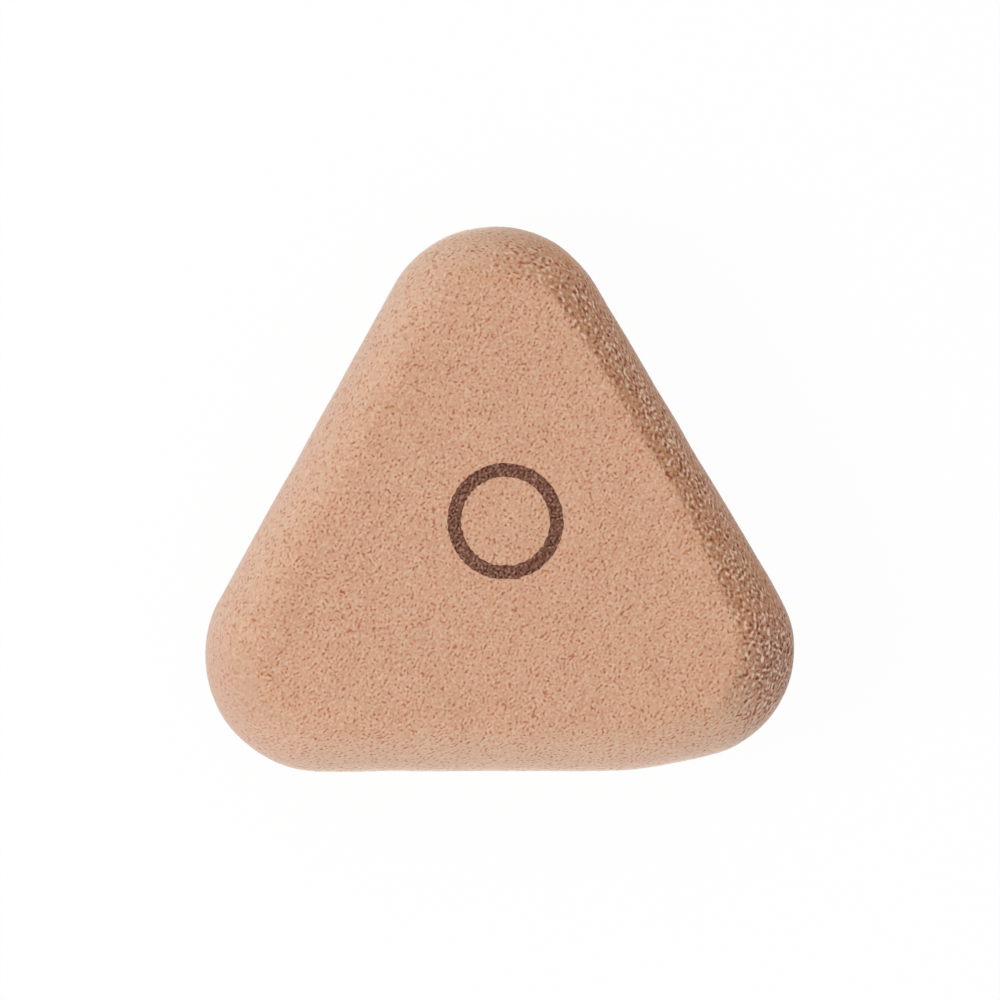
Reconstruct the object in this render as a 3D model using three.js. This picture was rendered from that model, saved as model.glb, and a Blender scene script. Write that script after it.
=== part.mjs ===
// Powder puff: a rounded triangle of open-cell foam with a ring printed on its front face.
// Millimetres, +Z up. The puff lies on its flat back, with its front face up and its apex towards +Y.
// The origin is on the back face, at the middle of the puff's length and width.

import * as THREE from "three";

// Plan of the puff at its girth, the widest level: three corner arcs joined by straight sides.
const LEFT_CORNER_RADIUS = 11.8;
const RIGHT_CORNER_RADIUS = 11.05;
const APEX_RADIUS = 11.8;
const BASE_SPACING = 37.15;
const APEX_REACH = 31.95;
const APEX_SHIFT = 17.6;

// The base side leaves its straight early and climbs to the right corner on one long arc.
const RIGHT_CORNER_LIFT = 1.35;
const BASE_ARC_RADIUS = 46;

// Section of the puff: flat front and back, with the rim between them ground to a curve.
const THICKNESS = 20;
const CREASE_ANGLE = THREE.MathUtils.degToRad(28);

// Width of the bevel along the sides and at each corner's tip, with the normal angle of the tip. It
// narrows from a tip to the sides over the reach.
const SIDE_BEVEL_WIDTH = 4.7;
const LEFT_TIP_BEVEL_WIDTH = 5.4;
const RIGHT_TIP_BEVEL_WIDTH = 7;
const APEX_TIP_BEVEL_WIDTH = 5.6;
const LEFT_TIP_ANGLE = THREE.MathUtils.degToRad(200);
const RIGHT_TIP_ANGLE = 0;
const APEX_TIP_ANGLE = THREE.MathUtils.degToRad(80);
const TIP_BEVEL_REACH = 20;

// The printed ring, an ink film that lies on the front face.
const RING_OUTER_DIAMETER = 11.6;
const RING_STROKE = 1.35;
const INK_THICKNESS = 0.2;
const RING_DROP = 2.6;

// Straight steps that stand for the curves: the most that one turns, the longest one, and counts.
const TURN_STEP = THREE.MathUtils.degToRad(7.5);
const LONGEST_STEP = 2.4;
const SIDE_STEPS = 8;
const RIM_STEPS = 12;
const RING_STEPS = 40;

// Finishes.
const foam = new THREE.MeshStandardMaterial({ color: 0xcea082, roughness: 0.95, metalness: 0 });
const ink = new THREE.MeshStandardMaterial({ color: 0x785447, roughness: 0.85, metalness: 0 });

// Outward normal angle of the side that touches two corner arcs, going anticlockwise from one to the other.
function sideNormal(from, to) {
  const heading = Math.atan2(to.y - from.y, to.x - from.x);
  const apart = Math.hypot(to.x - from.x, to.y - from.y);
  return heading - Math.acos((from.radius - to.radius) / apart);
}

// The arcs of the girth in anticlockwise order, each with the normal angles where it starts and ends.
// A corner's arc also has its tip's normal angle and its bevel's width there.
function girthArcs() {
  const left = {
    x: 0,
    y: 0,
    radius: LEFT_CORNER_RADIUS,
    tipAngle: LEFT_TIP_ANGLE,
    tipBevelWidth: LEFT_TIP_BEVEL_WIDTH,
  };
  const baseLevel = left.y - left.radius;
  const right = {
    x: left.x + BASE_SPACING,
    y: baseLevel + RIGHT_CORNER_LIFT + RIGHT_CORNER_RADIUS,
    radius: RIGHT_CORNER_RADIUS,
    tipAngle: RIGHT_TIP_ANGLE,
    tipBevelWidth: RIGHT_TIP_BEVEL_WIDTH,
  };
  const apex = {
    x: left.x + APEX_SHIFT,
    y: left.y + APEX_REACH,
    radius: APEX_RADIUS,
    tipAngle: APEX_TIP_ANGLE,
    tipBevelWidth: APEX_TIP_BEVEL_WIDTH,
  };

  // The base arc is level where it leaves the straight, and touches the right corner from outside.
  const baseArc = { y: baseLevel + BASE_ARC_RADIUS, radius: BASE_ARC_RADIUS };
  const centresApart = baseArc.radius - right.radius;
  baseArc.x = right.x - Math.sqrt(centresApart ** 2 - (baseArc.y - right.y) ** 2);
  const down = -Math.PI / 2;
  const meeting = Math.atan2(right.y - baseArc.y, right.x - baseArc.x);

  const rightSide = sideNormal(right, apex);
  const leftSide = sideNormal(apex, left) + 2 * Math.PI;
  return [
    { ...baseArc, start: down, end: meeting },
    { ...right, start: meeting, end: rightSide },
    { ...apex, start: rightSide, end: leftSide },
    { ...left, start: leftSide, end: down + 2 * Math.PI },
  ];
}

// The point of an arc at a normal angle, with its outward normal.
function arcPoint(arc, angle) {
  const normal = new THREE.Vector2(Math.cos(angle), Math.sin(angle));
  return { place: new THREE.Vector2(arc.x, arc.y).addScaledVector(normal, arc.radius), normal };
}

// Points along the whole of one arc.
function arcPoints(arc) {
  const turn = arc.end - arc.start;
  const steps = Math.ceil(turn / Math.min(TURN_STEP, LONGEST_STEP / arc.radius));
  return Array.from({ length: steps + 1 }, (_, step) =>
    arcPoint(arc, THREE.MathUtils.lerp(arc.start, arc.end, step / steps)),
  );
}

// Points between the end of one arc and the start of the next, where the side is straight.
function sidePoints(from, to) {
  return Array.from({ length: SIDE_STEPS - 1 }, (_, step) => ({
    place: from.place.clone().lerp(to.place, (step + 1) / SIDE_STEPS),
    normal: from.normal.clone(),
  }));
}

// Width of the bevel at a place on the girth: the sides' width, and more of a tip's the nearer it lies,
// by a raised cosine.
function bevelWidth(place, corners) {
  return corners.reduce((width, corner) => {
    const tip = arcPoint(corner, corner.tipAngle).place;
    const away = Math.min(place.distanceTo(tip) / TIP_BEVEL_REACH, 1);
    return width + ((corner.tipBevelWidth - SIDE_BEVEL_WIDTH) * (1 + Math.cos(Math.PI * away))) / 2;
  }, SIDE_BEVEL_WIDTH);
}

// The girth as one closed loop of points with normals and bevel widths, centred on the origin.
function girthLoop() {
  const arcs = girthArcs();
  const corners = arcs.slice(1);
  const [base, right, apex, left] = arcs.map(arcPoints);
  const loop = [
    ...base,
    ...right.slice(1),
    ...sidePoints(right.at(-1), apex[0]),
    ...apex,
    ...sidePoints(apex.at(-1), left[0]),
    ...left,
    ...sidePoints(left.at(-1), base[0]),
  ];
  const centre = new THREE.Box2().setFromPoints(loop.map(({ place }) => place)).getCenter(new THREE.Vector2());
  return loop.map(({ place, normal }) => ({
    place: place.clone().sub(centre),
    normal,
    width: bevelWidth(place, corners),
  }));
}

// The rim's section from the back face's edge to the front face's edge: an arc of an ellipse, as how
// far each level lies inside the girth, by share of the bevel's width, and how high it lies.
function rimLevels() {
  return Array.from({ length: RIM_STEPS + 1 }, (_, step) => {
    const angle = THREE.MathUtils.lerp(Math.PI - CREASE_ANGLE, CREASE_ANGLE, step / RIM_STEPS);
    const insetShare = (1 - Math.sin(angle)) / (1 - Math.sin(CREASE_ANGLE));
    const rise = Math.cos(angle) / Math.cos(CREASE_ANGLE);
    return { insetShare, z: (THICKNESS / 2) * (1 + rise) };
  });
}

// One level of the rim in plan.
function levelOutline(loop, { insetShare }) {
  return loop.map(({ place, normal, width }) => place.clone().addScaledVector(normal, -insetShare * width));
}

// The foam: a skin of levels from back to front, closed by a flat face at each end.
function foamGeometry() {
  const loop = girthLoop();
  const levels = rimLevels();
  const count = loop.length;
  const positions = levels.flatMap((level) =>
    levelOutline(loop, level).flatMap(({ x, y }) => [x, y, level.z]),
  );
  const faces = [];
  for (let level = 0; level < levels.length - 1; level += 1) {
    for (let point = 0; point < count; point += 1) {
      const here = level * count + point;
      const next = level * count + ((point + 1) % count);
      faces.push(here, next, next + count, here, next + count, here + count);
    }
  }
  const back = 0;
  const front = levels.length - 1;
  for (const [a, b, c] of THREE.ShapeUtils.triangulateShape(levelOutline(loop, levels[back]), [])) {
    faces.push(a, c, b);
  }
  for (const [a, b, c] of THREE.ShapeUtils.triangulateShape(levelOutline(loop, levels[front]), [])) {
    faces.push(front * count + a, front * count + b, front * count + c);
  }
  const geometry = new THREE.BufferGeometry();
  geometry.setAttribute("position", new THREE.Float32BufferAttribute(positions, 3));
  geometry.setIndex(faces);
  geometry.computeVertexNormals();
  return geometry;
}

// The ink: a flat ring as thick as the film.
function ringGeometry() {
  const outerRadius = RING_OUTER_DIAMETER / 2;
  const outline = new THREE.Shape().absarc(0, 0, outerRadius, 0, 2 * Math.PI, false);
  outline.holes.push(new THREE.Path().absarc(0, 0, outerRadius - RING_STROKE, 0, 2 * Math.PI, true));
  return new THREE.ExtrudeGeometry(outline, {
    depth: INK_THICKNESS,
    curveSegments: RING_STEPS,
    bevelEnabled: false,
  });
}

const foamBody = new THREE.Mesh(foamGeometry(), foam);
foamBody.name = "foam_body";

const printedRing = new THREE.Mesh(ringGeometry(), ink);
printedRing.name = "printed_ring";
printedRing.position.set(0, -RING_DROP, THICKNESS);

const powderPuff = new THREE.Group();
powderPuff.name = "powder_puff";
powderPuff.add(foamBody, printedRing);

export default powderPuff;
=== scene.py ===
"""Looks of the powder puff: a rounded triangle of open-cell foam with a ring printed on its front face.

The puff lies on its flat back on a white floor and is seen from above. Lengths are in metres, worked out
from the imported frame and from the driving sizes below, which are written in millimetres times MM.
"""

from __future__ import annotations

import logging
import math
from dataclasses import dataclass, field
from enum import Enum

import bpy
import numpy as np
from mathutils import Matrix, Vector

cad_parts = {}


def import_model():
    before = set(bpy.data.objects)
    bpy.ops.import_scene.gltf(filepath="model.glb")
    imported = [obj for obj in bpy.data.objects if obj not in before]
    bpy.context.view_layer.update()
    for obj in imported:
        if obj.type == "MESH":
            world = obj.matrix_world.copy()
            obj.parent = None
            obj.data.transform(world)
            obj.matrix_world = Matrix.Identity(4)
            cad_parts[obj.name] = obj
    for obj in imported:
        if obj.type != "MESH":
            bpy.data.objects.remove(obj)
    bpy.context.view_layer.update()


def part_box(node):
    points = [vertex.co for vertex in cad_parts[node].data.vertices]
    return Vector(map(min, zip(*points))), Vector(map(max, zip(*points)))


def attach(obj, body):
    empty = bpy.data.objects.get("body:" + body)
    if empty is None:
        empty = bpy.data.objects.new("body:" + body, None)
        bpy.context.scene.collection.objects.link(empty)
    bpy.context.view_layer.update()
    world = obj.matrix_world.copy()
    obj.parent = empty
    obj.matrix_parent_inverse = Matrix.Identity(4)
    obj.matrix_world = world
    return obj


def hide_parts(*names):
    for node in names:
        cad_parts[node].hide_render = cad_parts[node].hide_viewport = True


MM = 0.001
BODY = "root"
FOAM_NODE = "foam_body"
RING_NODE = "printed_ring"
PORE = "pore"
RIM = "rim"
PAINTED_LAMP_SHEEN = "painted_lamp_sheen"
PAINTED_FAR_SHADE = "painted_far_shade"
PAINTED_CORNER_SHADE = "painted_corner_shade"
COARSE = "coarse"
GRIT = "grit"
PAINTED_OUTER_SHEEN = "painted_outer_sheen"

# How many half sides make up the way round a square.
HALF_SIDES_ROUND = 8

# The turn of the materials' patterns, in radians about X, Y and Z.
PATTERN_TURN = (0.6, 0.78, 0.42)

Colour = tuple[float, float, float, float]
Span = tuple[float, float]
WHITE: Colour = (1.0, 1.0, 1.0, 1.0)

log = logging.getLogger("powder_puff")


class Value:
    """A shader socket that can be used in arithmetic. Each operator adds one Math node."""

    def __init__(self, tree: bpy.types.NodeTree, socket: bpy.types.NodeSocket) -> None:
        """Keeps the tree and the output socket that holds the value."""
        self.tree = tree
        self.socket = socket

    def math(self, operation: str, *terms: Value | float, clamp: bool = False) -> Value:
        """Adds a Math node.

        Args:
            operation: The Math node's operation.
            terms: Its inputs in order, as values or plain numbers.
            clamp: Whether the result is held between 0 and 1.

        Returns:
            The node's output.
        """
        node = self.tree.nodes.new("ShaderNodeMath")
        node.operation = operation
        node.use_clamp = clamp
        for slot, term in zip(node.inputs, terms):
            if isinstance(term, Value):
                self.tree.links.new(term.socket, slot)
            else:
                slot.default_value = term
        return Value(self.tree, node.outputs[0])

    def __add__(self, other: Value | float) -> Value:
        """The sum of this value and another."""
        return self.math("ADD", self, other)

    __radd__ = __add__

    def __sub__(self, other: Value | float) -> Value:
        """This value less another."""
        return self.math("SUBTRACT", self, other)

    def __rsub__(self, other: float) -> Value:
        """A number less this value."""
        return self.math("SUBTRACT", other, self)

    def __mul__(self, other: Value | float) -> Value:
        """The product of this value and another."""
        return self.math("MULTIPLY", self, other)

    __rmul__ = __mul__

    def clamped(self) -> Value:
        """This value held between 0 and 1."""
        return self.math("ADD", self, 0.0, clamp=True)


class ShaderTree:
    """The node tree of a new material or world."""

    def __init__(self, owner: bpy.types.Material | bpy.types.World) -> None:
        """Turns on the owner's nodes and empties its tree."""
        owner.use_nodes = True
        self.owner = owner
        self.tree = owner.node_tree
        self.tree.nodes.clear()

    def add(self, kind: str, settings: dict | None = None, **inputs: object) -> bpy.types.Node:
        """Adds any node other than Math.

        Args:
            kind: The node's type.
            settings: Properties of the node, set first.
            inputs: Values or links of its sockets, by name with _ for a space, or i0, i1, ... by place.

        Returns:
            The new node.
        """
        node = self.tree.nodes.new(kind)
        for key, value in (settings or {}).items():
            setattr(node, key, value)
        for key, value in inputs.items():
            by_place = key[0] == "i" and key[1:].isdigit()
            slot = node.inputs[int(key[1:])] if by_place else node.inputs[key.replace("_", " ")]
            self._feed(slot, value)
        return node

    def _feed(self, slot: bpy.types.NodeSocket, value: object) -> None:
        """Links an output, or sets a number or a colour."""
        if isinstance(value, Value):
            self.tree.links.new(value.socket, slot)
        elif isinstance(value, bpy.types.NodeSocket):
            self.tree.links.new(value, slot)
        else:
            slot.default_value = value

    def value(self, socket: bpy.types.NodeSocket) -> Value:
        """That output as a value for arithmetic."""
        return Value(self.tree, socket)

    def attribute(self, name: str) -> Value:
        """A number stored on the mesh under that name."""
        return self.value(self.add("ShaderNodeAttribute", {"attribute_name": name}).outputs["Fac"])

    def turned(self, shrink: Value | float = 1.0) -> bpy.types.NodeSocket:
        """Object coordinates times a number, turned so that no flat face cuts a pattern squarely."""
        place = self.add("ShaderNodeTexCoord").outputs["Object"]
        scaled = self.add("ShaderNodeVectorMath", {"operation": "SCALE"}, Vector=place, Scale=shrink)
        return self.add("ShaderNodeMapping", Vector=scaled.outputs[0], Rotation=PATTERN_TURN).outputs[0]

    def noise(self, size: float, detail: float = 0.0) -> Value:
        """Noise about 0.5, by the width of its largest lumps and how many finer octaves it has."""
        noise = self.add("ShaderNodeTexNoise", Vector=self.turned(), Scale=1.0 / size, Detail=detail)
        return self.value(noise.outputs["Fac"])

    def cells(self, wavelength: float, shrink: Value | float = 1.0) -> Value:
        """Evenly spaced hollows and bumps, all of nearly one width.

        Args:
            wavelength: The distance from one hollow to the next.
            shrink: What the coordinates are multiplied by. It may differ from place to place in steps.

        Returns:
            Values about 0.5, low in the hollows.
        """
        waves_per_cell = 1.3
        gabor = self.add(
            "ShaderNodeTexGabor",
            {"gabor_type": "3D"},
            Vector=self.turned(shrink),
            Scale=1.0 / (waves_per_cell * wavelength),
            Frequency=waves_per_cell,
            Anisotropy=0.0,
        )
        return self.value(gabor.outputs["Value"])

    def rise(self, value: Value, start: float, end: float) -> Value:
        """Goes smoothly from 0 where the value is at the start to 1 where it is at the end."""
        node = self.add(
            "ShaderNodeMapRange",
            {"interpolation_type": "SMOOTHSTEP"},
            Value=value,
            From_Min=start,
            From_Max=end,
        )
        return self.value(node.outputs["Result"])

    def blend(self, share: Value | float, first: object, second: object) -> bpy.types.NodeSocket:
        """A colour between two others.

        Args:
            share: How much of the second colour.
            first: A colour or a colour output.
            second: The same.

        Returns:
            The mixed colour's output.
        """
        mix = self.add("ShaderNodeMix", {"data_type": "RGBA"}, i0=share, i6=first, i7=second)
        return mix.outputs[2]

    def bumped(self, height: Value, depth: float) -> bpy.types.NodeSocket:
        """The surface's normal, tilted by a height from 0 to 1 times that depth."""
        bump = self.add("ShaderNodeBump", Strength=1.0, Distance=depth, Height=height)
        return bump.outputs["Normal"]

    def surface(self, shader: bpy.types.Node) -> bpy.types.Material:
        """Puts a shader on the material's surface and returns the material."""
        self.add("ShaderNodeOutputMaterial", Surface=shader.outputs[0])
        return self.owner


def mesh_object(name: str, places: np.ndarray, quads: np.ndarray) -> bpy.types.Object:
    """Makes a smooth mesh object at the origin.

    Args:
        name: The piece's name.
        places: One row of three coordinates for each vertex.
        quads: One row of four vertex numbers for each face, anticlockwise seen from outside.

    Returns:
        The object, linked to the scene.
    """
    mesh = bpy.data.meshes.new(name)
    mesh.vertices.add(len(places))
    mesh.vertices.foreach_set("co", places.astype(np.float32).ravel())
    mesh.loops.add(quads.size)
    mesh.loops.foreach_set("vertex_index", quads.astype(np.int32).ravel())
    mesh.polygons.add(len(quads))
    mesh.polygons.foreach_set("loop_start", np.arange(0, quads.size, quads.shape[1], dtype=np.int32))
    mesh.update(calc_edges=True)
    mesh.shade_smooth()
    piece = bpy.data.objects.new(name, mesh)
    bpy.context.scene.collection.objects.link(piece)
    return piece


def vertex_normals(mesh: bpy.types.Mesh) -> np.ndarray:
    """The outward normal at each vertex, one row each."""
    found = np.empty(len(mesh.vertices) * 3, np.float32)
    mesh.vertex_normals.foreach_get("vector", found)
    return found.reshape(-1, 3)


def store(mesh: bpy.types.Mesh, name: str, numbers: np.ndarray) -> None:
    """Stores one number on each vertex under a name that materials read."""
    layer = mesh.attributes.new(name, "FLOAT", "POINT")
    layer.data.foreach_set("value", numbers.astype(np.float32))


def smooth_step(low: float, high: float, x: np.ndarray) -> np.ndarray:
    """Rises from 0 at low to 1 at high with level ends: 3t^2 - 2t^3 of the share t of the way."""
    t = np.clip((x - low) / (high - low), 0.0, 1.0)
    return t * t * (3.0 - 2.0 * t)


@dataclass(frozen=True)
class NoiseCube:
    """Random noise of about one wavelength, in a cube that repeats in all three directions.

    White noise is filtered so that its frequencies lie in a shell: the filter falls off from
    1 / wavelength as a bell curve of the logarithm of the frequency.
    """

    wavelength: float
    octaves_wide: float
    samples: int
    seed: int
    samples_per_wave: float = 6.0
    turns: tuple[float, float, float] = (0.5, 0.8, 0.3)

    def values(self) -> np.ndarray:
        """The cube's samples, with mean 0 and deviation 1."""
        white = np.random.default_rng(self.seed).standard_normal((self.samples,) * 3)
        along = np.fft.fftfreq(self.samples) * self.samples_per_wave
        half = np.fft.rfftfreq(self.samples) * self.samples_per_wave
        x, y, z = along[:, None, None], along[None, :, None], half[None, None, :]
        frequency = np.sqrt(x**2 + y**2 + z**2)
        above_zero = 1e-6
        octaves = np.log2(np.maximum(frequency, above_zero))
        kept = np.exp(-0.5 * (octaves / self.octaves_wide) ** 2)
        kept[0, 0, 0] = 0.0
        found = np.fft.irfftn(np.fft.rfftn(white) * kept, s=white.shape, axes=(0, 1, 2))
        return (found / found.std()).astype(np.float32)

    def at(self, places: np.ndarray) -> np.ndarray:
        """The noise at any places, by straight interpolation between the eight samples around each.

        Args:
            places: One row of three coordinates each. They are turned first, so that no flat face
                cuts the cube squarely and shows its repeats.

        Returns:
            One number for each place.
        """
        cube = self.values()
        grid = places @ self._turn() * (self.samples_per_wave / self.wavelength)
        low = np.floor(grid).astype(np.int64)
        part = (grid - low).astype(np.float32)
        total = np.zeros(len(places), np.float32)
        for corner in range(8):
            step = np.array([corner & 1, corner >> 1 & 1, corner >> 2 & 1])
            weight = np.prod(np.where(step, part, 1.0 - part), axis=1)
            i, j, k = ((low + step) % self.samples).T
            total += weight * cube[i, j, k]
        return total

    def _turn(self) -> np.ndarray:
        """The rotation of the cube, from the three turns in radians about X, Y and Z."""
        about_x = Matrix.Rotation(self.turns[0], 3, "X")
        about_y = Matrix.Rotation(self.turns[1], 3, "Y")
        about_z = Matrix.Rotation(self.turns[2], 3, "Z")
        return np.array(about_x @ about_y @ about_z)


@dataclass(frozen=True)
class Arc:
    """One arc of the girth, by its centre, its radius and the normal angles where it starts and ends."""

    x: float
    y: float
    radius: float
    first: float
    last: float

    def at(self, angle: float) -> np.ndarray:
        """The place on the arc at a normal angle."""
        return np.array([self.x + self.radius * math.cos(angle), self.y + self.radius * math.sin(angle)])


@dataclass(frozen=True)
class Corner:
    """One corner of the girth: its arc's radius, its tip's normal angle and the bevel's width there."""

    radius: float
    tip_angle: float
    tip_bevel: float


@dataclass(frozen=True)
class Girth:
    """The puff's plan at its widest level: arcs joined by straight sides, centred on the origin."""

    left: Corner = Corner(11.8 * MM, math.radians(200.0), 5.15 * MM)
    right: Corner = Corner(11.05 * MM, 0.0, 6.8 * MM)
    apex: Corner = Corner(11.8 * MM, math.radians(80.0), 5.6 * MM)
    base_spacing: float = 37.15 * MM
    apex_reach: float = 31.95 * MM
    apex_shift: float = 17.6 * MM
    right_lift: float = 1.35 * MM
    base_arc_radius: float = 46.0 * MM
    side_bevel: float = 4.7 * MM
    tip_reach: float = 20.0 * MM

    def arcs(self) -> list[Arc]:
        """The arcs anticlockwise: the base's long arc, then those of the right, apex and left corners."""
        base_level = -self.left.radius
        left = np.zeros(2)
        right = np.array([self.base_spacing, base_level + self.right_lift + self.right.radius])
        apex = np.array([self.apex_shift, self.apex_reach])
        base_y = base_level + self.base_arc_radius
        apart = self.base_arc_radius - self.right.radius
        base_x = right[0] - math.sqrt(apart**2 - (base_y - right[1]) ** 2)
        down = -0.5 * math.pi
        meeting = math.atan2(right[1] - base_y, right[0] - base_x)
        right_side = self._side_normal(right, self.right.radius, apex, self.apex.radius)
        left_side = self._side_normal(apex, self.apex.radius, left, self.left.radius) + 2.0 * math.pi
        return [
            Arc(base_x, base_y, self.base_arc_radius, down, meeting),
            Arc(*right, self.right.radius, meeting, right_side),
            Arc(*apex, self.apex.radius, right_side, left_side),
            Arc(*left, self.left.radius, left_side, down + 2.0 * math.pi),
        ]

    @staticmethod
    def _side_normal(start: np.ndarray, start_radius: float, end: np.ndarray, end_radius: float) -> float:
        """The outward normal angle of the side that touches two corner arcs, going anticlockwise."""
        x, y = end - start
        return math.atan2(y, x) - math.acos((start_radius - end_radius) / math.hypot(x, y))

    def knots(self) -> np.ndarray:
        """Where arcs and sides meet: rows of length along the girth, centre x and y, radius and normal.

        Between two rows each of these runs straight, on an arc and on a side alike.
        """
        arcs = self.arcs()
        rows, length = [], 0.0
        # Arcs that touch get a side of no visible length, so that the lengths keep rising.
        touching = 1e-9
        for arc, after in zip(arcs, arcs[1:] + arcs[:1]):
            rows.append((length, arc.x, arc.y, arc.radius, arc.first))
            length += arc.radius * (arc.last - arc.first)
            rows.append((length, arc.x, arc.y, arc.radius, arc.last))
            side = float(np.linalg.norm(after.at(arc.last) - arc.at(arc.last)))
            length += max(side, touching)
        rows.append((length, arcs[0].x, arcs[0].y, arcs[0].radius, arcs[-1].last))
        return np.array(rows)

    def length(self) -> float:
        """The girth's length."""
        return float(self.knots()[-1, 0])

    def at(self, shares: np.ndarray) -> tuple[np.ndarray, np.ndarray]:
        """Places and outward normals at shares of the way round.

        Args:
            shares: Numbers from 0 to 1, of any shape.

        Returns:
            Places and normals, each of that shape with two more numbers at its end.
        """
        knots = self.knots()
        run = shares * knots[-1, 0]
        x, y, radius, angle = (np.interp(run, knots[:, 0], column) for column in knots[:, 1:].T)
        normal = np.stack([np.cos(angle), np.sin(angle)], axis=-1)
        place = np.stack([x, y], axis=-1) + radius[..., None] * normal
        return place - self._middle(), normal

    def bevel(self, places: np.ndarray) -> np.ndarray:
        """The bevel's width at places on the girth.

        It is the sides' width, and for each corner a raised cosine of the distance from its tip,
        from the tip's own width to nothing at the reach.
        """
        width = np.full(places.shape[:-1], self.side_bevel)
        for arc, corner in zip(self.arcs()[1:], (self.right, self.apex, self.left)):
            tip = arc.at(corner.tip_angle) - self._middle()
            away = np.minimum(np.linalg.norm(places - tip, axis=-1) / self.tip_reach, 1.0)
            width += (corner.tip_bevel - self.side_bevel) * 0.5 * (1.0 + np.cos(math.pi * away))
        return width

    def _middle(self) -> np.ndarray:
        """The middle of the girth's box, before it is centred."""
        base, right, apex, left = self.arcs()
        x = 0.5 * (right.x + right.radius + left.x - left.radius)
        y = 0.5 * (apex.y + apex.radius + base.y - base.radius)
        return np.array([x, y])


@dataclass(frozen=True)
class Section:
    """The puff's section: a flat face, a softened crease and a rim ground to an arc of an ellipse."""

    half_thickness: float
    crease_angle: float = math.radians(28.0)

    def rim(
        self, angle: np.ndarray, width: np.ndarray, softness: np.ndarray
    ) -> tuple[np.ndarray, np.ndarray]:
        """The rim at angles from the front crease to the back crease, half a turn less that angle.

        The inset from the girth is the width times (1 - sin a) / (1 - sin crease), and the level is
        the half thickness times cos a / cos crease, less what the softened crease takes off.

        Args:
            angle: Where on the ellipse, 90 degrees being the girth.
            width: The bevel's width there.
            softness: How far the crease is rounded there.

        Returns:
            The inset and the level above the middle plane.
        """
        start = self.crease_angle
        inset = width * (1.0 - np.sin(angle)) / (1.0 - math.sin(start))
        level = self.half_thickness * np.cos(angle) / math.cos(start)
        return inset, level - np.sign(np.cos(angle)) * self.softened(width - inset, width, softness)

    def softened(self, outward: np.ndarray, width: np.ndarray, softness: np.ndarray) -> np.ndarray:
        """What rounding the crease takes off at a distance outwards from it.

        A soft corner stands in place of a sharp one: slope * softness * log(1 + exp(-distance /
        softness)), where the slope is how steeply the rim leaves the crease.
        """
        sine, cosine = math.sin(self.crease_angle), math.cos(self.crease_angle)
        slope = self.half_thickness * sine * (1.0 - sine) / (width * cosine**2)
        return slope * softness * np.log1p(np.exp(-np.abs(outward) / softness))


class Side(Enum):
    """The puff's two flat faces, by the sign of their level."""

    FRONT = 1.0
    BACK = -1.0


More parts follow.
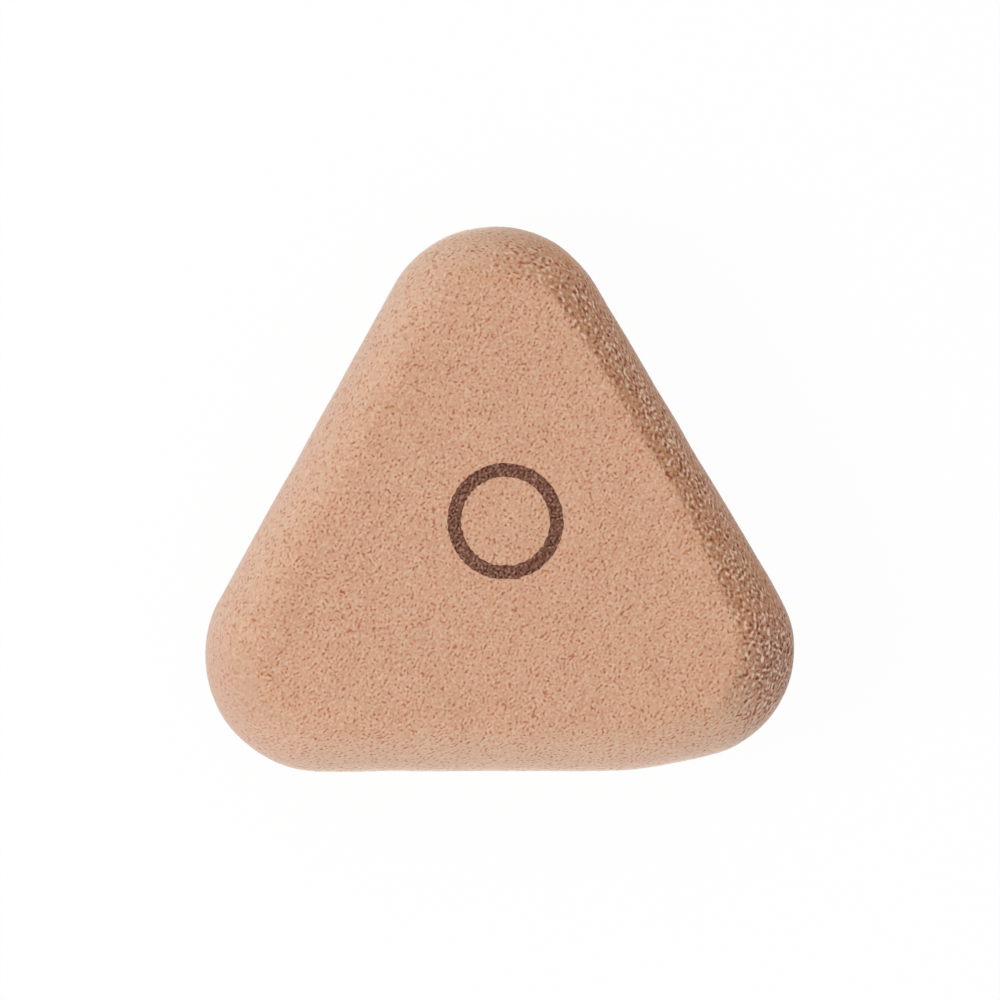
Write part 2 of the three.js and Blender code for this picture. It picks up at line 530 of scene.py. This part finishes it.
@dataclass(frozen=True)
class FoamFinish:
    """Bare foam, the colour of light skin, with red-brown shade painted in its pores and pale struts,
    partly painted highlights.

    The bevel is a little paler than the faces, partly painted sheen. Towards the lower left, facing the
    lamp, it has a greyer painted sheen. Towards the upper right, away from the lamp, it has coarse cells
    and a darker, warmer painted shade. The right corner has a darker painted shade, and the outer part
    has a paler, pinker painted sheen, most of it towards the lower left. Spans run from where a pattern's
    share is 0 to where it is 1. Shares say how strongly it tints the ground.
    """

    tone: Colour = (0.636, 0.347, 0.213, 1.0)
    warm_tone: Colour = (0.614, 0.324, 0.194, 1.0)
    # The bevel's paler, pinker tone: partly painted sheen where light grazes it.
    rim_tone: Colour = (0.669, 0.412, 0.268, 1.0)
    # Painted sheen: the greyer tone of the bevel that faces the lamp.
    painted_lamp_sheen_tone: Colour = (0.553, 0.331, 0.214, 1.0)
    # Painted shade: the darker, warmer tone of the bevel that faces away from the lamp.
    painted_far_shade_tone: Colour = (0.560, 0.248, 0.106, 1.0)
    # Painted shade: the darker tone at the right corner, where the lamp's light does not reach.
    painted_corner_shade_tone: Colour = (0.350, 0.135, 0.068, 1.0)
    # Painted sheen: the paler, pinker tone of the bevel's outer part.
    painted_outer_sheen_tone: Colour = (0.700, 0.455, 0.450, 1.0)
    # Painted shade in the foam's pores and in its deep holes.
    pore_tone: Colour = (0.388, 0.092, 0.029, 1.0)
    hole_tone: Colour = (0.150, 0.024, 0.012, 1.0)
    # Pale struts: the foam's grain, partly painted highlights on the cells' walls.
    strut_tone: Colour = (0.760, 0.590, 0.450, 1.0)
    coarse_strut_tone: Colour = (0.850, 0.632, 0.478, 1.0)
    cell_spacing: float = 0.42 * MM
    pit_span: Span = (0.47, 0.27)
    hole_span: Span = (0.47, 0.34)
    strut_span: Span = (0.49, 0.70)
    glint_span: Span = (0.54, 0.74)
    sunken_span: Span = (1.5, -0.8)
    raised_span: Span = (0.4, 1.7)
    pit_share: float = 0.80
    hollow_share: float = 0.10
    corner_holes: float = 1.3
    coarse_holes: float = 0.18
    strut_share: float = 0.36
    grain_share: float = 0.22
    ridge_share: float = 0.16
    blotch_size: float = 3.5 * MM
    blotch_detail: float = 2.0
    blotch_span: Span = (0.3, 0.7)
    grain_size: float = 0.26 * MM
    grain_span: Span = (0.42, 0.72)
    relief_height: float = 0.025 * MM
    smooth_calm: float = 0.45
    coarse_from: float = 0.35
    coarse_shrink: float = 0.33
    rim_from: float = 0.5
    rim_shrink: float = 0.12
    coarse_pits: float = 1.0
    coarse_struts: float = 0.42
    roughness: float = 0.92
    sheen: float = 0.80
    sheen_tint: Colour = (1.0, 0.93, 0.85, 1.0)
    sheen_roughness: float = 0.3

    def material(self) -> bpy.types.Material:
        """The foam's material: pits and deep holes in the ground's colour, painted as shade, and pale
        struts over both, partly painted highlights.
        """
        tree = ShaderTree(bpy.data.materials.new("bare_foam"))
        painted_lamp_sheen, painted_far_shade, painted_corner_shade, coarse = (tree.attribute(name) for name in (PAINTED_LAMP_SHEEN, PAINTED_FAR_SHADE, PAINTED_CORNER_SHADE, COARSE))
        grit = tree.attribute(GRIT)
        # The cells' pattern is calmer where sheen and shade are painted, and stronger where the foam is
        # coarse.
        calm = 1.0 - (painted_lamp_sheen + painted_far_shade - coarse) * self.smooth_calm
        cells = self._cells(tree, coarse)
        grain = tree.noise(self.grain_size)

        # Pits and deep holes: the foam's cells, with painted shade in them.
        pits = tree.rise(cells, *self.pit_span) * self.pit_share
        pits = pits + tree.attribute(PORE) * self.hollow_share
        pits = pits * (calm + coarse * self.coarse_pits)
        holes = tree.rise(cells, *self.hole_span) * tree.rise(grit, *self.sunken_span)
        holes = holes * (painted_corner_shade * self.corner_holes + coarse * self.coarse_holes)
        pitted = tree.blend(pits.clamped(), self._ground(tree), self.pore_tone)
        pitted = tree.blend(holes.clamped(), pitted, self.hole_tone)

        # Pale struts of the grain, partly painted highlights; the glints on coarse cells and the grit's
        # ridges are painted highlights.
        struts = tree.rise(cells, *self.strut_span) * self.strut_share
        struts = (struts + tree.rise(grain, *self.grain_span) * self.grain_share) * calm
        struts = struts + tree.rise(cells, *self.glint_span) * coarse * self.coarse_struts
        struts = struts + tree.rise(grit, *self.raised_span) * self.ridge_share
        strut_colour = tree.blend(coarse.clamped(), self.strut_tone, self.coarse_strut_tone)
        shader = tree.add(
            "ShaderNodeBsdfPrincipled",
            Base_Color=tree.blend(struts.clamped(), pitted, strut_colour),
            Roughness=self.roughness,
            Normal=tree.bumped(grain * calm, self.relief_height),
            Sheen_Weight=self.sheen,
            Sheen_Roughness=self.sheen_roughness,
            Sheen_Tint=self.sheen_tint,
        )
        return tree.surface(shader)

    def _cells(self, tree: ShaderTree, coarse: Value) -> Value:
        """The foam's cells, in three widths: on the faces, on the rim and, widest, where it is coarse."""
        rim = tree.attribute(RIM)
        coarse_wide = coarse.math("GREATER_THAN", coarse, self.coarse_from) * self.coarse_shrink
        rim_wide = rim.math("GREATER_THAN", rim, self.rim_from) * self.rim_shrink
        return tree.cells(self.cell_spacing, shrink=1.0 - rim.math("MAXIMUM", coarse_wide, rim_wide))

    def _ground(self, tree: ShaderTree) -> bpy.types.NodeSocket:
        """The colour without pits and struts: two tones in blotches, and each zone's tone over them, most
        of these painted sheen and painted shade.
        """
        blotch = tree.rise(tree.noise(self.blotch_size, self.blotch_detail), *self.blotch_span)
        ground = tree.blend(blotch, self.tone, self.warm_tone)
        # The zones' tones: the paler rim, partly painted sheen; painted sheen towards the lamp; painted
        # shade away from it and at the right corner; painted sheen on the outer bevel.
        for zone, tone in (
            (RIM, self.rim_tone),
            (PAINTED_LAMP_SHEEN, self.painted_lamp_sheen_tone),
            (PAINTED_FAR_SHADE, self.painted_far_shade_tone),
            (PAINTED_CORNER_SHADE, self.painted_corner_shade_tone),
            (PAINTED_OUTER_SHEEN, self.painted_outer_sheen_tone),
        ):
            ground = tree.blend(tree.attribute(zone), ground, tone)
        return ground


@dataclass(frozen=True)
class InkFinish:
    """Dark brown ink, thin where the foam's struts stand up and darker in its pores."""

    tone: Colour = (0.178, 0.076, 0.051, 1.0)
    deep_tone: Colour = (0.075, 0.022, 0.014, 1.0)
    worn_tone: Colour = (0.370, 0.190, 0.125, 1.0)
    cell_spacing: float = 0.38 * MM
    stain_span: Span = (0.50, 0.33)
    worn_span: Span = (0.51, 0.72)
    grain_size: float = 0.26 * MM
    relief_height: float = 0.05 * MM
    roughness: float = 0.9
    gloss: float = 0.2

    def material(self) -> bpy.types.Material:
        """The ink's material, by the foam's cells under it."""
        tree = ShaderTree(bpy.data.materials.new("printed_ink"))
        cells = tree.cells(self.cell_spacing)
        stained = tree.blend(tree.rise(cells, *self.stain_span), self.tone, self.deep_tone)
        shader = tree.add(
            "ShaderNodeBsdfPrincipled",
            Base_Color=tree.blend(tree.rise(cells, *self.worn_span), stained, self.worn_tone),
            Roughness=self.roughness,
            Specular_IOR_Level=self.gloss,
            Normal=tree.bumped(tree.noise(self.grain_size), self.relief_height),
        )
        return tree.surface(shader)


@dataclass
class FoamSurface:
    """The foam's fine relief: pores between soft lumps, coarse grit, and a slow unevenness."""

    pores: NoiseCube = NoiseCube(wavelength=0.80 * MM, octaves_wide=0.35, samples=128, seed=7)
    grit: NoiseCube = NoiseCube(wavelength=0.70 * MM, octaves_wide=0.20, samples=160, seed=33)
    waves: NoiseCube = NoiseCube(wavelength=8.0 * MM, octaves_wide=0.5, samples=48, seed=21)
    pore_depth: float = 0.030 * MM
    lump_height: float = 0.010 * MM
    grit_height: float = 0.05 * MM
    wave_height: float = 0.03 * MM
    pore_opens: float = 0.25
    pore_full: float = 2.1

    def pore(self, places: np.ndarray) -> np.ndarray:
        """How much of a pore each place lies in, from 0 to 1: a smooth step of where the noise is low."""
        return smooth_step(self.pore_opens, self.pore_full, -self.pores.at(places))

    def height(self, places: np.ndarray) -> np.ndarray:
        """The height of the even foam along its normal: lumps less pores, and the slow unevenness.

        Args:
            places: One row of three coordinates each.

        Returns:
            The lumps' height times tanh of their noise, less the depth times the pore, plus waves.
        """
        lumps = self.lump_height * np.tanh(self.pores.at(places))
        return lumps - self.pore_depth * self.pore(places) + self.wave_height * self.waves.at(places)

    def coarse_height(self, grit: np.ndarray) -> np.ndarray:
        """The height that grit adds where the foam is coarse."""
        return self.grit_height * np.tanh(grit)


@dataclass(frozen=True)
class Skin:
    """A grid of places on the smooth skin.

    Beside the places it holds how far across the bevel each lies in plan, 0 at the crease, 1 at the
    girth and below 0 on the faces, and the angle that its part of the girth faces.
    """

    places: np.ndarray
    across: np.ndarray
    azimuth: np.ndarray

    def rows(self, first: int, last: int) -> Skin:
        """The grid's rows from the first to before the last."""
        return Skin(self.places[first:last], self.across[first:last], self.azimuth[first:last])


@dataclass(frozen=True)
class Patch:
    """A stretch of the rim, by the angle that its middle faces and how far from there it fades out."""

    towards: float
    spread: float

    def share(self, azimuth: np.ndarray) -> np.ndarray:
        """Falls from 1 in the middle to 0 at the spread, by a raised cosine of the angle between."""
        away = np.abs(np.remainder(azimuth - self.towards + math.pi, 2.0 * math.pi) - math.pi)
        return 0.5 + 0.5 * np.cos(math.pi * np.minimum(away / self.spread, 1.0))


@dataclass(frozen=True)
class Zones:
    """Where the bevel differs from the faces, and how it differs round the puff: coarser cells, and
    painted sheen and painted shade that follow the lamp.

    Its methods take a place's share across the bevel and the angle that its part of the girth faces,
    and return how much of that zone is there.
    """

    # The bevel that faces away from the lamp: rough foam, with painted shade.
    far_side_patch: Patch = Patch(math.radians(30.0), math.radians(95.0))
    # The bevel that faces the lamp, where sheen is painted.
    painted_lamp_sheen_patch: Patch = Patch(math.radians(200.0), math.radians(80.0))
    # Painted shade at the right corner.
    painted_corner_shade_patch: Patch = Patch(math.radians(353.0), math.radians(65.0))
    pitted_patch: Patch = Patch(math.radians(352.0), math.radians(68.0))
    # A little painted shade along the crease of the apex.
    warm_patch: Patch = Patch(math.radians(80.0), math.radians(65.0))
    # Painted sheen on the bevel's outer part, most of it towards the lower left.
    painted_outer_sheen_patch: Patch = Patch(math.radians(225.0), math.radians(175.0))
    warm_amount: float = 0.26
    painted_outer_sheen_amount: float = 0.17
    warm_from: Span = (-0.15, 0.00)
    warm_to: Span = (0.10, 0.45)
    crisp_span: Span = (-0.08, 0.10)
    soft_span: Span = (-0.20, 0.60)
    painted_lamp_sheen_span: Span = (-0.04, 0.12)
    painted_corner_shade_span: Span = (-0.16, 0.62)
    painted_outer_sheen_span: Span = (0.20, 0.80)
    smooth_span: Span = (0.50, 0.90)
    pitted_from: Span = (0.00, 0.45)
    pitted_to: Span = (0.84, 1.00)

    def rim(self, across: np.ndarray, azimuth: np.ndarray) -> np.ndarray:
        """The share of the bevel's paler tone, partly painted sheen: it rises over the crease on the side
        away from the lamp, where the foam is rough, and over more of the bevel elsewhere.
        """
        crisp, soft = smooth_step(*self.crisp_span, across), smooth_step(*self.soft_span, across)
        return crisp + (soft - crisp) * (1.0 - self.far_side_patch.share(azimuth))

    def rough(self, across: np.ndarray, azimuth: np.ndarray) -> np.ndarray:
        """Foam that the grinding left rough, from the crease outwards."""
        return smooth_step(*self.crisp_span, across) * self.far_side_patch.share(azimuth)

    def painted_far_shade(self, across: np.ndarray, azimuth: np.ndarray) -> np.ndarray:
        """Painted shade, darker and warmer: on the rough foam that faces away from the lamp, and some
        along the crease of the apex.
        """
        line = smooth_step(*self.warm_from, across) * (1.0 - smooth_step(*self.warm_to, across))
        along = self.warm_amount * line * self.warm_patch.share(azimuth)
        return np.maximum(self.rough(across, azimuth), along)

    def painted_lamp_sheen(self, across: np.ndarray, azimuth: np.ndarray) -> np.ndarray:
        """Painted sheen, a greyer tone on the bevel that faces the lamp, from just past the crease
        outwards.
        """
        return smooth_step(*self.painted_lamp_sheen_span, across) * self.painted_lamp_sheen_patch.share(azimuth)

    def painted_corner_shade(self, across: np.ndarray, azimuth: np.ndarray) -> np.ndarray:
        """Painted shade at the right corner, where the lamp's light does not reach: darker foam, more of
        it the nearer the girth.
        """
        return smooth_step(*self.painted_corner_shade_span, across) * self.painted_corner_shade_patch.share(azimuth)

    def painted_outer_sheen(self, across: np.ndarray, azimuth: np.ndarray) -> np.ndarray:
        """Painted sheen: paler, pinker foam on the outer part of the bevel, most of it towards the lower
        left.
        """
        return self.painted_outer_sheen_amount * smooth_step(*self.painted_outer_sheen_span, across) * self.painted_outer_sheen_patch.share(azimuth)

    def coarse(self, across: np.ndarray, azimuth: np.ndarray) -> np.ndarray:
        """Coarse cells: rough foam but for the bevel's outer part, and a pitted band at the corner."""
        rough = self.rough(across, azimuth) * (1.0 - smooth_step(*self.smooth_span, across))
        band = smooth_step(*self.pitted_from, across) * (1.0 - smooth_step(*self.pitted_to, across))
        return rough + band * self.pitted_patch.share(azimuth)


@dataclass(frozen=True)
class Wave:
    """A sine wave round the puff, by its share of the whole, its number of waves and its phase."""

    share: float
    waves: float
    phase: float

    def at(self, angle: np.ndarray) -> np.ndarray:
        """The wave at angles that the girth faces."""
        return self.share * np.sin(self.waves * angle + self.phase)


@dataclass
class FoamBody:
    """The foam block: two flat faces and the rim between them, as one closed skin with real pores."""

    thickness: float
    girth: Girth = field(default_factory=Girth)
    surface: FoamSurface = field(default_factory=FoamSurface)
    zones: Zones = field(default_factory=Zones)
    finish: FoamFinish = field(default_factory=FoamFinish)
    spacing: float = 0.13 * MM
    crisp: float = 0.12 * MM
    soft: float = 0.45 * MM
    soft_from: float = math.radians(205.0)
    wander: float = 0.20 * MM
    slow_wave: Wave = Wave(share=0.6, waves=2.0, phase=3.8)
    quick_wave: Wave = Wave(share=0.4, waves=5.0, phase=5.2)
    section_samples: int = 2001

    def half_side(self) -> int:
        """Steps from the middle of a face's square grid to its edge."""
        return round(self.girth.length() / self.spacing / HALF_SIDES_ROUND)

    def steps_round(self) -> int:
        """Steps round the girth, as many as round the edge of a face's square grid."""
        return HALF_SIDES_ROUND * self.half_side()

    def crease(self, shares: np.ndarray) -> tuple[np.ndarray, np.ndarray]:
        """The bevel's width and the crease's softness at shares of the way round.

        The width wanders by two waves. The crease is softest where its normal faces the lower
        left, by the cosine of the angle from there.
        """
        place, normal = self.girth.at(shares)
        angle = np.arctan2(normal[..., 1], normal[..., 0])
        facing = 0.5 + 0.5 * np.cos(angle - self.soft_from)
        width = self.girth.bevel(place)
        width += self.wander * (self.slow_wave.at(angle) + self.quick_wave.at(angle))
        return width, self.crisp + (self.soft - self.crisp) * facing

    def section(self) -> Section:
        """The section that goes round the girth."""
        return Section(half_thickness=0.5 * self.thickness)

    def face(self, side: Side) -> Skin:
        """One flat face on a square grid.

        A square ring of the grid is laid on a copy of the crease, shrunk towards the middle by the
        ring's share of the grid, and a point's place round it is its place round the square.

        Args:
            side: Which face.

        Returns:
            The grid, by column and row.
        """
        half = self.half_side()
        steps = np.arange(-half, half + 1)
        i, j = np.meshgrid(steps, steps, indexing="ij")
        ring = np.maximum(np.maximum(np.abs(i), np.abs(j)), 1)
        offsets = np.stack([j + ring, ring - i, ring - j, i + ring]) / (2.0 * ring)
        on_side = np.stack([i == ring, j == ring, i == -ring, j == -ring])
        quarter = np.argmax(on_side, axis=0)
        around = (quarter + np.take_along_axis(offsets, quarter[None], axis=0)[0]) / 4.0 % 1.0
        share = np.maximum(np.abs(i), np.abs(j)) / half
        place, normal = self.girth.at(around)
        width, softness = self.crease(around)
        edge = place - width[..., None] * normal
        outward = -(1.0 - share) * np.sum(edge * normal, axis=-1)
        section = self.section()
        level = section.half_thickness - section.softened(outward, width, softness)
        flat = share[..., None] * edge
        z = 0.5 * self.thickness + side.value * level
        azimuth = np.arctan2(normal[..., 1], normal[..., 0])
        return Skin(np.concatenate([flat, z[..., None]], axis=-1), outward / width, azimuth)

    def rim(self) -> Skin:
        """The rim on a grid, by level from front to back and by place round the girth.

        Each point is the girth's point, moved in along its normal by the section's inset.
        """
        section = self.section()
        shares = np.arange(self.steps_round()) / self.steps_round()
        place, normal = self.girth.at(shares)
        width, softness = self.crease(shares)
        start = section.crease_angle
        fine = np.linspace(start, math.pi - start, self.section_samples)
        inset, level = section.rim(fine, np.float64(self.girth.side_bevel), np.float64(self.crisp))
        run = np.concatenate([[0.0], np.cumsum(np.hypot(np.diff(inset), np.diff(level)))])
        rows = round(float(run[-1]) / self.spacing)
        angle = np.interp(np.linspace(0.0, run[-1], rows + 1), run, fine)[:, None]
        inset, level = section.rim(angle, width[None], softness[None])
        flat = place[None] - inset[..., None] * normal[None]
        azimuth = np.broadcast_to(np.arctan2(normal[:, 1], normal[:, 0]), inset.shape)
        places = np.concatenate([flat, (0.5 * self.thickness + level)[..., None]], axis=-1)
        return Skin(places, 1.0 - inset / width, azimuth)

    def quads(self, rim_points: int) -> np.ndarray:
        """Faces of the closed skin: the front's, the rim's and the back's.

        Vertices are numbered over the front's grid, then over the rim's inner levels, then over the
        back's grid. The rim's outer levels are the edges of the two grids.

        Args:
            rim_points: How many vertices the rim's inner levels have.

        Returns:
            One row of four vertex numbers for each face.
        """
        side = 2 * self.half_side() + 1
        numbers = np.arange(side * side).reshape(side, side)
        edge = np.concatenate([numbers[-1, :-1], numbers[:0:-1, -1], numbers[0, :0:-1], numbers[:-1, 0]])
        inner = side * side + np.arange(rim_points).reshape(-1, self.steps_round())
        behind = side * side + inner.size
        levels = np.concatenate([edge[None], inner, edge[None] + behind])
        after = np.roll(levels, -1, axis=1)
        face_corners = [numbers[:-1, :-1], numbers[1:, :-1], numbers[1:, 1:], numbers[:-1, 1:]]
        rim_corners = [levels[:-1], levels[1:], after[1:], after[:-1]]
        face_quads = np.stack([corner.ravel() for corner in face_corners], axis=1)
        rim_quads = np.stack([corner.ravel() for corner in rim_corners], axis=1)
        return np.concatenate([face_quads, rim_quads, face_quads[:, ::-1] + behind])

    def build(self) -> bpy.types.Object:
        """Makes the skin, gives it its relief, stores its zones and returns the piece."""
        rim = self.rim().rows(1, -1)
        quads = self.quads(rim.across.size)
        parts = (self.face(Side.FRONT), rim, self.face(Side.BACK))
        places = np.concatenate([part.places.reshape(-1, 3) for part in parts])
        across = np.concatenate([part.across.ravel() for part in parts])
        azimuth = np.concatenate([part.azimuth.ravel() for part in parts])
        coarse = self.zones.coarse(across, azimuth)
        piece = mesh_object("foam_block", places, quads)
        grit = coarse * self.surface.grit.at(places)
        height = self.surface.height(places) + self.surface.coarse_height(grit)
        relieved = places + height[:, None] * vertex_normals(piece.data)
        relieved[:, 2] = np.maximum(relieved[:, 2], 0.0)
        piece.data.vertices.foreach_set("co", relieved.astype(np.float32).ravel())
        store(piece.data, PORE, self.surface.pore(places))
        store(piece.data, GRIT, grit)
        # Stores the zones, among them painted sheen and painted shade.
        for name, zone in (
            (RIM, self.zones.rim),
            (PAINTED_LAMP_SHEEN, self.zones.painted_lamp_sheen),
            (PAINTED_FAR_SHADE, self.zones.painted_far_shade),
            (PAINTED_CORNER_SHADE, self.zones.painted_corner_shade),
            (PAINTED_OUTER_SHEEN, self.zones.painted_outer_sheen),
        ):
            store(piece.data, name, zone(across, azimuth))
        store(piece.data, COARSE, coarse)
        piece.data.update()
        log.info("foam_block: %d vertices, %d faces", len(places), len(quads))
        return piece

    def dress(self, piece: bpy.types.Object) -> None:
        """Gives the foam its material, hangs it on the body and hides the frame's part that it stands in
        for.
        """
        piece.data.materials.append(self.finish.material())
        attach(piece, BODY)
        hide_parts(FOAM_NODE)


@dataclass
class PrintedRing:
    """The ink film: a closed ring that follows the foam's pores and lies just proud of them."""

    centre: tuple[float, float]
    outer_radius: float
    level: float
    surface: FoamSurface
    finish: InkFinish = field(default_factory=InkFinish)
    stroke: float = 1.35 * MM
    proud: float = 0.03 * MM
    sunk: float = 0.12 * MM
    spacing: float = 0.09 * MM
    fray: float = 0.03 * MM

    def build(self) -> bpy.types.Object:
        """Makes the film on a grid of turn and place round its section.

        The section runs out across the top and back underneath. The top lies on the foam's relief,
        raised by the film, and the underside the same, lowered. The edges wander by a fine noise.
        """
        turns = round(2.0 * math.pi * self.outer_radius / self.spacing)
        steps = round(self.stroke / self.spacing)
        turn = np.linspace(0.0, 2.0 * math.pi, turns, endpoint=False)[:, None]
        outwards = np.linspace(-1.0, 1.0, steps + 1)
        across = np.concatenate([outwards, outwards[::-1]])[None]
        under = np.concatenate([np.zeros(steps + 1), np.ones(steps + 1)])[None]
        middle = self.outer_radius - 0.5 * self.stroke
        direction = np.stack([np.cos(turn), np.sin(turn), np.zeros_like(turn)], axis=-1)
        centre = np.array([*self.centre, self.level])
        wander = self.surface.pores.at((centre + self.outer_radius * direction).reshape(-1, 3))
        half = 0.5 * self.stroke + self.fray * wander.reshape(-1, 1) * np.sign(across)
        radius = middle + across * half
        smooth = centre + radius[..., None] * direction
        height = self.surface.height(smooth.reshape(-1, 3))
        lift = np.broadcast_to(np.where(under > 0, -self.sunk, self.proud), radius.shape)
        places = smooth.reshape(-1, 3)
        places[:, 2] += height + lift.ravel()
        numbers = np.arange(places.shape[0]).reshape(turns, -1)
        onward, along = np.roll(numbers, -1, axis=0), np.roll(numbers, -1, axis=1)
        both = np.roll(onward, -1, axis=1)
        quads = np.stack([numbers.ravel(), along.ravel(), both.ravel(), onward.ravel()], axis=1)
        piece = mesh_object("ring_print", places, quads)
        log.info("ring_print: %d vertices, %d faces", len(places), len(quads))
        return piece

    def dress(self, piece: bpy.types.Object) -> None:
        """Gives the ink its material, hangs it on the body and hides the frame's part that it stands in
        for.
        """
        piece.data.materials.append(self.finish.material())
        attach(piece, BODY)
        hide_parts(RING_NODE)


@dataclass(frozen=True)
class Studio:
    """A white floor, an even white dome, a soft lamp from the left and a camera above the puff."""

    subject: Vector
    frame_width: float = 102.04 * MM
    camera_distance: float = 450.0 * MM
    nearest_seen: float = 10.0 * MM
    aim: tuple[float, float] = (-0.03 * MM, -0.15 * MM)
    lean_left: float = math.radians(2.9)
    lean_down: float = math.radians(1.9)
    sensor: float = 36.0
    floor_reach: float = 4.0
    floor_tone: Colour = (0.90, 0.90, 0.90, 1.0)
    floor_whitening: float = 0.96
    dome_strength: float = 0.706
    key_from: tuple[float, float, float] = (-0.70, -0.15, 0.70)
    key_distance: float = 700.0 * MM
    key_size: float = 260.0 * MM
    key_watts: float = 2.0

    def build(self) -> None:
        """Makes the floor, the dome, the lamp and the camera."""
        self.floor()
        self.dome()
        self.key()
        self.camera()
        bpy.context.scene.view_settings.view_transform = "Standard"

    def floor(self) -> None:
        """A wide floor that the camera sees nearly white, and that keeps the puff's shadow."""
        reach = self.floor_reach
        corners = np.array([[-1.0, -1.0, 0.0], [1.0, -1.0, 0.0], [1.0, 1.0, 0.0], [-1.0, 1.0, 0.0]])
        floor = mesh_object("floor", corners * reach, np.arange(4)[None])
        tree = ShaderTree(bpy.data.materials.new("white_floor"))
        path = tree.add("ShaderNodeLightPath")
        seen = tree.value(path.outputs["Is Camera Ray"])
        mirrored = tree.value(path.outputs["Is Glossy Ray"])
        through = tree.value(path.outputs["Is Transmission Ray"])
        white = tree.add("ShaderNodeEmission", Color=WHITE, Strength=1.0)
        matte = tree.add("ShaderNodeBsdfDiffuse", Color=self.floor_tone)
        share = (seen + mirrored + through).clamped() * self.floor_whitening
        mix = tree.add("ShaderNodeMixShader", Fac=share, i1=matte.outputs[0], i2=white.outputs[0])
        floor.data.materials.append(tree.surface(mix))

    def dome(self) -> None:
        """An even white dome for light, seen by the camera as plain white."""
        world = bpy.data.worlds.new("white_dome")
        tree = ShaderTree(world)
        share = tree.add("ShaderNodeLightPath").outputs["Is Camera Ray"]
        light = tree.add("ShaderNodeBackground", Color=WHITE, Strength=self.dome_strength)
        seen = tree.add("ShaderNodeBackground", Color=WHITE, Strength=1.0)
        mix = tree.add("ShaderNodeMixShader", Fac=share, i1=light.outputs[0], i2=seen.outputs[0])
        tree.add("ShaderNodeOutputWorld", Surface=mix.outputs[0])
        bpy.context.scene.world = world

    def key(self) -> None:
        """A soft square lamp above and to the left of the puff."""
        lamp = bpy.data.lights.new("key", "AREA")
        lamp.size = self.key_size
        lamp.energy = self.key_watts
        holder = bpy.data.objects.new("key", lamp)
        direction = Vector(self.key_from).normalized()
        holder.location = self.subject + direction * self.key_distance
        holder.rotation_euler = direction.to_track_quat("Z", "Y").to_euler()
        bpy.context.scene.collection.objects.link(holder)

    def camera(self) -> None:
        """A long lens above the puff, leaning a little to the left and down."""
        lens = bpy.data.cameras.new("camera")
        lens.sensor_width = self.sensor
        lens.lens = self.sensor * self.camera_distance / self.frame_width
        lens.clip_start = self.nearest_seen
        holder = bpy.data.objects.new("camera", lens)
        back = Vector((-math.tan(self.lean_left), -math.tan(self.lean_down), 1.0)).normalized()
        right = Vector((0.0, 1.0, 0.0)).cross(back).normalized()
        turn = Matrix((right, back.cross(right), back)).transposed().to_4x4()
        target = self.subject + Vector((*self.aim, 0.0))
        holder.matrix_world = Matrix.Translation(target + back * self.camera_distance) @ turn
        bpy.context.scene.collection.objects.link(holder)
        bpy.context.scene.camera = holder


def main() -> None:
    """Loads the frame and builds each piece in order."""
    logging.basicConfig(level=logging.INFO, format="%(name)s: %(message)s")
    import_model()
    foam_low, foam_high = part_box(FOAM_NODE)
    ring_low, ring_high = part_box(RING_NODE)

    foam = FoamBody(thickness=foam_high.z - foam_low.z)
    foam.dress(foam.build())

    ring = PrintedRing(
        centre=(0.5 * (ring_low.x + ring_high.x), 0.5 * (ring_low.y + ring_high.y)),
        outer_radius=0.5 * (ring_high.x - ring_low.x),
        level=ring_low.z,
        surface=foam.surface,
    )
    ring.dress(ring.build())

    middle = 0.5 * (foam_low + foam_high)
    Studio(subject=Vector((0.0, 0.0, middle.z))).build()


if __name__ == "__main__":
    main()
